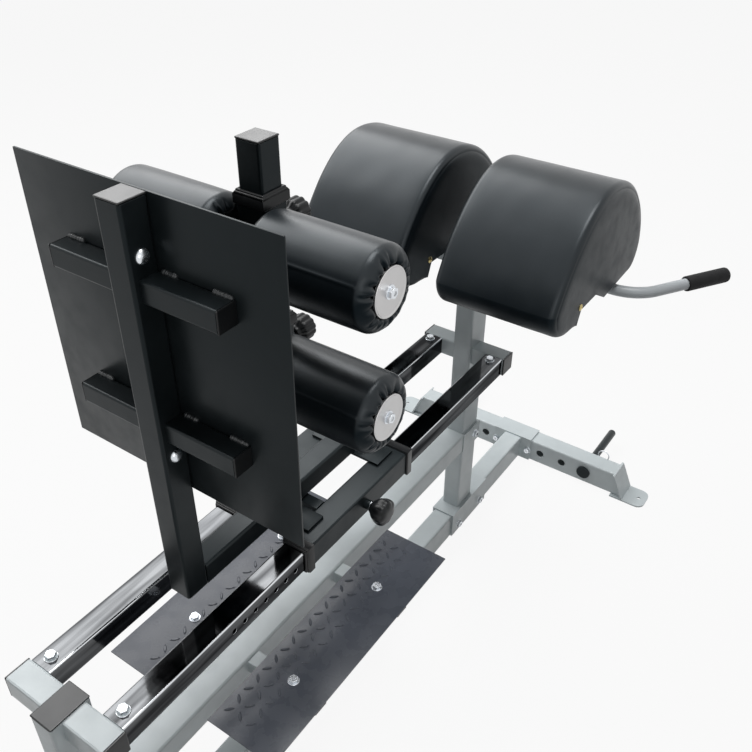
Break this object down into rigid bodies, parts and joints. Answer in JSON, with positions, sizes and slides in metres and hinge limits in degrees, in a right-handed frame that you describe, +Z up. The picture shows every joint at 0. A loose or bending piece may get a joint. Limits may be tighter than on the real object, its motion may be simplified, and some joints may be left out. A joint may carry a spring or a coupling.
{
  "type": "glute ham developer",
  "caption": "Glute ham developer with a sliding foot plate and roller carriage on chrome rails, half-round thigh pads and side handles.",
  "frame": {"origin": "on the floor, at the centre of the footprint of the bounding box", "axes": "+X forward, from the foot plate towards the thigh pads, +Y to the left, +Z up"},
  "size_m": [2.177, 1.0936, 1.4453],
  "materials": {
    "frame_paint": "silver-grey powder coat, satin",
    "carriage_paint": "black powder coat with a soft sheen",
    "rail_chrome": "bright chrome plate",
    "zinc_plate": "bright zinc plate",
    "handle_paint": "silver-grey powder coat",
    "black_plastic": "black moulded plastic",
    "pad_vinyl": "black vinyl upholstery with a fine grain",
    "grip_foam": "black foam rubber grip",
    "tread_paint": "dark painted diamond plate"
  },
  "bodies": {
    "frame": {"base_tube": "frame_paint", "front_foot": "frame_paint", "rear_foot": "frame_paint", "front_foot_saddle": "frame_paint", "rear_foot_saddle": "frame_paint", "front_upright": "frame_paint", "rear_upright": "frame_paint", "rear_upright_cap": "black_plastic", "mid_tube": "frame_paint", "front_cross_member_left": "frame_paint", "front_cross_member_right": "frame_paint", "rear_cross_member_left": "frame_paint", "rear_cross_member_right": "frame_paint", "rail_left": "rail_chrome", "rail_right": "rail_chrome", "tread_left": "tread_paint", "tread_right": "tread_paint", "band_peg_left": "carriage_paint", "band_peg_right": "carriage_paint", "peg_lock_pin_left": "zinc_plate", "peg_lock_pin_right": "zinc_plate", "pad_beam": "carriage_paint", "thigh_pad_left": "pad_vinyl", "thigh_pad_right": "pad_vinyl", "handle_tube_left": "handle_paint", "handle_tube_right": "handle_paint", "handle_grip_left": "grip_foam", "handle_grip_right": "grip_foam"},
    "carriage": {"rail_sleeve_left": "carriage_paint", "rail_sleeve_right": "carriage_paint", "rear_rail_collar_left": "black_plastic", "rear_rail_collar_right": "black_plastic", "front_rail_collar_left": "black_plastic", "front_rail_collar_right": "black_plastic", "carriage_rear_plate": "carriage_paint", "carriage_front_plate": "carriage_paint", "carriage_tie_bar": "carriage_paint", "carriage_spine": "carriage_paint", "foot_plate_column": "carriage_paint", "foot_plate_column_cap": "black_plastic", "foot_plate": "carriage_paint", "roller_post": "carriage_paint", "roller_post_cap": "black_plastic"},
    "carriage_pin": {"carriage_pin": "black_plastic"},
    "upper_roller_mount": {"upper_roller_sleeve": "carriage_paint", "upper_sleeve_collar_bottom": "black_plastic", "upper_sleeve_collar_top": "black_plastic", "upper_roller_disc_left": "zinc_plate", "upper_roller_disc_right": "zinc_plate"},
    "upper_pin": {"upper_pin": "black_plastic"},
    "upper_roller_left": {"upper_roller_left": "pad_vinyl"},
    "upper_roller_right": {"upper_roller_right": "pad_vinyl"},
    "lower_roller_mount": {"lower_roller_sleeve": "carriage_paint", "lower_sleeve_collar_bottom": "black_plastic", "lower_sleeve_collar_top": "black_plastic", "lower_roller_disc_left": "zinc_plate", "lower_roller_disc_right": "zinc_plate"},
    "lower_pin": {"lower_pin": "black_plastic"},
    "lower_roller_left": {"lower_roller_left": "pad_vinyl"},
    "lower_roller_right": {"lower_roller_right": "pad_vinyl"}
  },
  "joints": [
    {"name": "carriage_slide", "type": "slide", "parent": "frame", "child": "carriage", "axis": [1, 0, 0], "range_m": [-0.406, 0.116]},
    {"name": "carriage_pin_pull", "type": "slide", "parent": "carriage", "child": "carriage_pin", "axis": [0, -1, 0], "range_m": [0, 0.01], "stiffness_N_per_m": 500, "springref_m": -0.02},
    {"name": "upper_roller_height", "type": "slide", "parent": "carriage", "child": "upper_roller_mount", "axis": [0, 0, 1], "range_m": [-0.039, 0.078]},
    {"name": "upper_pin_pull", "type": "slide", "parent": "upper_roller_mount", "child": "upper_pin", "axis": [1, 0, 0], "range_m": [0, 0.01], "stiffness_N_per_m": 500, "springref_m": -0.02},
    {"name": "upper_roller_left_spin", "type": "hinge", "parent": "upper_roller_mount", "child": "upper_roller_left", "pos_m": [-0.354, 0.1595, 1.277], "axis": [0, 1, 0], "continuous": true},
    {"name": "upper_roller_right_spin", "type": "hinge", "parent": "upper_roller_mount", "child": "upper_roller_right", "pos_m": [-0.354, -0.1595, 1.277], "axis": [0, 1, 0], "continuous": true},
    {"name": "lower_roller_height", "type": "slide", "parent": "carriage", "child": "lower_roller_mount", "axis": [0, 0, 1], "range_m": [-0.0975, 0.0195]},
    {"name": "lower_pin_pull", "type": "slide", "parent": "lower_roller_mount", "child": "lower_pin", "axis": [1, 0, 0], "range_m": [0, 0.01], "stiffness_N_per_m": 500, "springref_m": -0.02},
    {"name": "lower_roller_left_spin", "type": "hinge", "parent": "lower_roller_mount", "child": "lower_roller_left", "pos_m": [-0.354, 0.1595, 1.043], "axis": [0, 1, 0], "continuous": true},
    {"name": "lower_roller_right_spin", "type": "hinge", "parent": "lower_roller_mount", "child": "lower_roller_right", "pos_m": [-0.354, -0.1595, 1.043], "axis": [0, 1, 0], "continuous": true}
  ]
}
